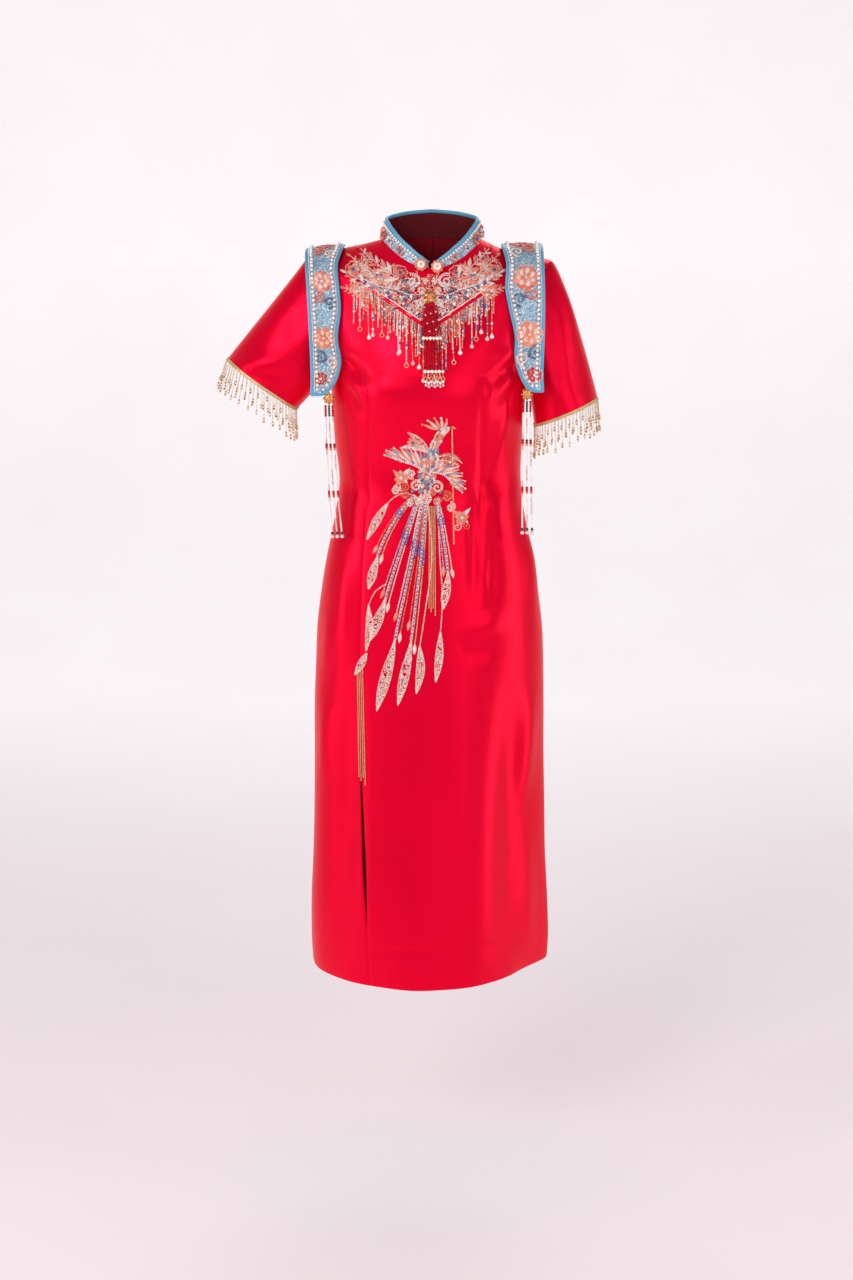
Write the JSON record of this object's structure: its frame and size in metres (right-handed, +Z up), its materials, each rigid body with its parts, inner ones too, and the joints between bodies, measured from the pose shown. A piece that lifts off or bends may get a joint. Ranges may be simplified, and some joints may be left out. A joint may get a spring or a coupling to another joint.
{
  "type": "chinese wedding dress",
  "caption": "Calf-length red satin wedding dress with a stand collar, beaded yoke, stiff shoulder panels, short fringed sleeves and a side-front slit.",
  "frame": {"origin": "level with the base of the neck, midway between the shoulders, where the wearer's shoulders hold the dress", "axes": "+Z up, -Y the way the wearer faces, -X towards the wearer's right arm"},
  "size_m": [0.5894, 0.2718, 1.1785],
  "materials": {
    "satin": "red duchess satin with a broad soft sheen",
    "glitter_cloth": "stiff grey-blue glitter cloth",
    "binding": "blue satin bias binding",
    "lining": "dark red matt lining",
    "coral_beads": "coral, pink and cream seed beads",
    "pearl_beads": "pearls and clear pink beads",
    "red_beads": "red faceted beads",
    "blue_beads": "grey-blue beads and sequins",
    "gold_metal": "polished gilt metal"
  },
  "bodies": {
    "root": {"front_main": "satin", "front_side_left": "satin", "back_left": "satin", "back_right": "satin", "sleeve_left": "satin", "sleeve_right": "satin", "collar_band": "glitter_cloth", "collar_lining": "lining", "collar_binding": "binding", "sleeve_braid_left": "gold_metal", "sleeve_fringe_left": "gold_metal", "shoulder_panel_left": "glitter_cloth", "shoulder_binding_left": "binding", "yoke_fringe_left": "pearl_beads", "neck_button_left": "coral_beads", "medallion_left": "gold_metal", "strand_left_1": "pearl_beads", "strand_left_2": "pearl_beads", "strand_left_3": "pearl_beads", "sleeve_braid_right": "gold_metal", "sleeve_fringe_right": "gold_metal", "shoulder_panel_right": "glitter_cloth", "shoulder_binding_right": "binding", "yoke_fringe_right": "pearl_beads", "neck_button_right": "coral_beads", "medallion_right": "gold_metal", "strand_right_1": "pearl_beads", "strand_right_2": "pearl_beads", "strand_right_3": "pearl_beads", "yoke_embroidery": "coral_beads", "chain_beak": "gold_metal", "chains_centre": "gold_metal", "chains_slit": "gold_metal", "centre_disk": "gold_metal", "phoenix_body": "blue_beads", "phoenix_wing_left": "blue_beads", "phoenix_wing_right": "blue_beads", "blossom_left": "coral_beads", "blossom_right": "coral_beads", "leaf_1": "coral_beads", "leaf_2": "coral_beads", "leaf_3": "coral_beads", "leaf_4": "coral_beads", "tail_plume_1": "pearl_beads", "tail_plume_2": "pearl_beads", "tail_plume_3": "pearl_beads", "tail_plume_4": "pearl_beads", "tail_plume_5": "pearl_beads", "tassel_upper": "red_beads", "tassel_lower": "red_beads", "tassel_band_upper": "pearl_beads", "tassel_band_lower": "pearl_beads", "tassel_drops": "pearl_beads"}
  },
  "joints": []
}
